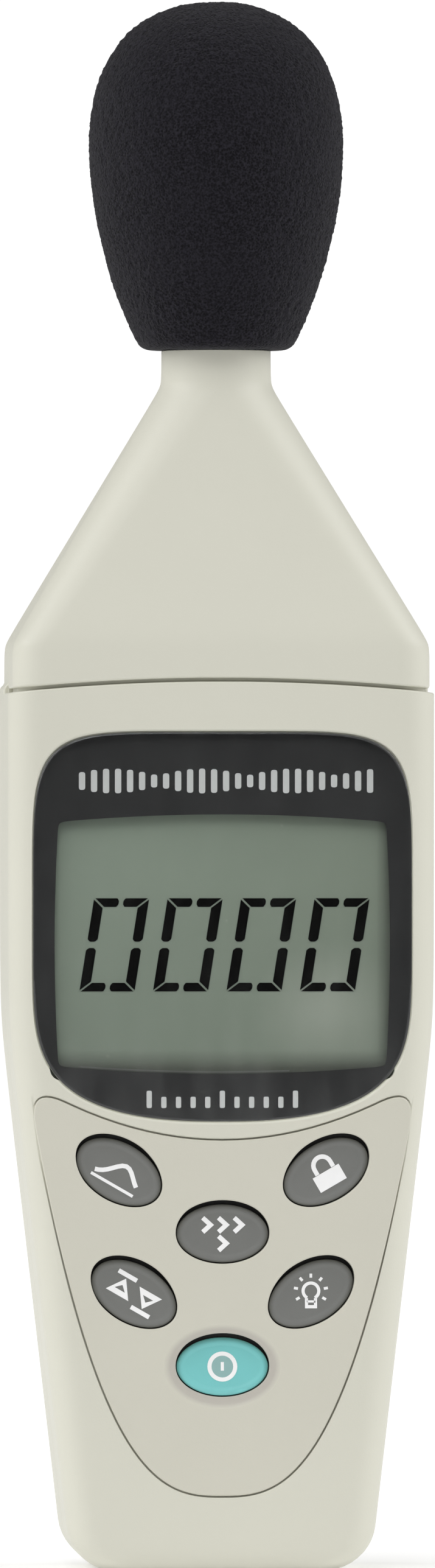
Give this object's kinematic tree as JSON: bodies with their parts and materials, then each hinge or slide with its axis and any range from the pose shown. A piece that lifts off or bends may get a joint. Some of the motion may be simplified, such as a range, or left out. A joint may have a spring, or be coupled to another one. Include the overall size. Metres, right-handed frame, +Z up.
{
  "type": "sound level meter",
  "caption": "Hand-held sound level meter: tapered two-part casing, digital display, oval keys, half-inch microphone under a pull-off foam windscreen, battery door behind.",
  "frame": {"origin": "middle of the flat base, under the centre of the bounding box", "axes": "+Z up along the meter to the windscreen, +X to the right of someone facing the display, +Y towards the back"},
  "size_m": [0.057, 0.0342, 0.21],
  "materials": {
    "casing": "fine satin texture, light warm grey",
    "panel": "fine satin texture, a shade darker than the casing",
    "lens": "clear polished acrylic",
    "mask_print": "black screen print behind the lens",
    "lcd": "grey-green reflective liquid-crystal panel",
    "white_plastic": "moulded white plastic",
    "light_guide": "milky acrylic",
    "led": "white side-firing lamp",
    "elastomer": "striped conductive elastomer",
    "circuit_board": "green solder mask on glass laminate",
    "chip_black": "moulded black epoxy, tinned leads",
    "capacitor_sleeve": "shrink sleeve over an aluminium can",
    "tin_plate": "tinned steel",
    "gold_plate": "gold-plated copper pads",
    "silicone": "translucent grey silicone",
    "key_grey": "satin grey key with white print",
    "key_teal": "satin teal key with white print",
    "trimmer_blue": "blue moulded trimmer housing",
    "nickel": "satin nickel plating",
    "black_rubber": "soft black rubber",
    "lead_red": "red vinyl insulation",
    "lead_black": "black vinyl insulation",
    "battery_jacket": "printed steel jacket, plain bands",
    "black_vinyl": "moulded black vinyl",
    "pad_foam": "dark open-cell foam strip",
    "brass": "turned brass",
    "screw_steel": "zinc-plated steel",
    "windscreen_foam": "charcoal open-cell acoustic foam"
  },
  "bodies": {
    "case": {"rear_shell": "casing", "front_shell": "casing", "head_shell": "casing", "keypad_panel": "panel", "display_lens": "lens", "lens_mask": "mask_print", "lcd_glass": "lcd", "lcd_frame": "white_plastic", "backlight_panel": "light_guide", "backlight_leds": "led", "zebra_strips": "elastomer", "main_board": "circuit_board", "processor_chip": "chip_black", "op_amps": "chip_black", "capacitors": "capacitor_sleeve", "chip_resistors": "chip_black", "crystal_can": "tin_plate", "contact_pads": "gold_plate", "keypad_mat": "silicone", "cal_trimmer": "trimmer_blue", "mic_tube": "nickel", "mic_grille": "nickel", "mic_capsule": "tin_plate", "mic_seal": "black_rubber", "mic_cable": "lead_black", "battery": "battery_jacket", "battery_terminals": "tin_plate", "snap_connector": "black_vinyl", "lead_red": "lead_red", "lead_black": "lead_black", "tripod_insert": "brass", "case_screws": "screw_steel", "board_screws": "screw_steel"},
    "windscreen": {"windscreen": "windscreen_foam"},
    "door": {"battery_door": "casing", "door_latch": "casing", "battery_pad": "pad_foam"},
    "trimmer_rotor": {"cal_rotor": "white_plastic"},
    "key_weighting": {"key_weighting": "key_grey"},
    "key_hold": {"key_hold": "key_grey"},
    "key_response": {"key_response": "key_grey"},
    "key_max_min": {"key_max_min": "key_grey"},
    "key_light": {"key_light": "key_grey"},
    "key_power": {"key_power": "key_teal"}
  },
  "joints": [
    {"name": "windscreen_slide", "type": "slide", "parent": "case", "child": "windscreen", "axis": [0, 0, 1], "range_m": [0, 0.04]},
    {"name": "door_hinge", "type": "hinge", "parent": "case", "child": "door", "pos_m": [0, 0.015, 0.0085], "axis": [-1, 0, 0], "range_deg": [0, 85], "deforming": ["door_latch"]},
    {"name": "trimmer_turn", "type": "hinge", "parent": "case", "child": "trimmer_rotor", "pos_m": [0.012, -0.0025, 0.101], "axis": [0, 1, 0], "range_deg": [-135, 135]},
    {"name": "key_weighting_press", "type": "slide", "parent": "case", "child": "key_weighting", "axis": [0, 1, 0], "range_m": [0, 0.0009], "stiffness_N_per_m": 1000, "deforming": ["keypad_mat"]},
    {"name": "key_hold_press", "type": "slide", "parent": "case", "child": "key_hold", "axis": [0, 1, 0], "range_m": [0, 0.0009], "stiffness_N_per_m": 1000, "deforming": ["keypad_mat"]},
    {"name": "key_response_press", "type": "slide", "parent": "case", "child": "key_response", "axis": [0, 1, 0], "range_m": [0, 0.0009], "stiffness_N_per_m": 1000, "deforming": ["keypad_mat"]},
    {"name": "key_max_min_press", "type": "slide", "parent": "case", "child": "key_max_min", "axis": [0, 1, 0], "range_m": [0, 0.0009], "stiffness_N_per_m": 1000, "deforming": ["keypad_mat"]},
    {"name": "key_light_press", "type": "slide", "parent": "case", "child": "key_light", "axis": [0, 1, 0], "range_m": [0, 0.0009], "stiffness_N_per_m": 1000, "deforming": ["keypad_mat"]},
    {"name": "key_power_press", "type": "slide", "parent": "case", "child": "key_power", "axis": [0, 1, 0], "range_m": [0, 0.0009], "stiffness_N_per_m": 1000, "deforming": ["keypad_mat"]}
  ]
}
